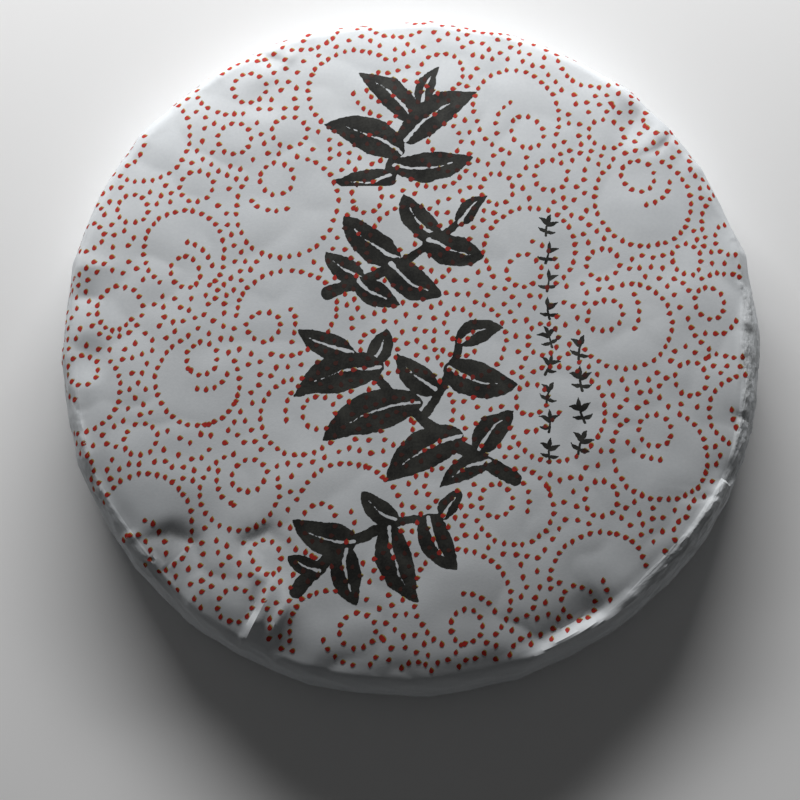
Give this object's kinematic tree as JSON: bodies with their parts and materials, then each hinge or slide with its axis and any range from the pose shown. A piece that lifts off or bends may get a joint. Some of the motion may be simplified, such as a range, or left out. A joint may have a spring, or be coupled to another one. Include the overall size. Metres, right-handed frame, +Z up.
{
  "type": "pu erh tea cake",
  "caption": "Round pressed tea cake in a thin paper wrapper with a dotted print on its face and pleats gathered behind, lying face up.",
  "frame": {"origin": "on the surface that the cake lies on, under the middle of its outline", "axes": "+Z up through the printed face, +Y towards the top of the print, +X to the right of the print"},
  "size_m": [0.199, 0.1992, 0.024],
  "materials": {
    "wrapping_paper": "thin cool white cotton paper with a satin face, lightly creased, printed with brick red dots and grey-black brushwork"
  },
  "bodies": {
    "root": {"wrapped_tea_cake": "wrapping_paper"}
  },
  "joints": []
}
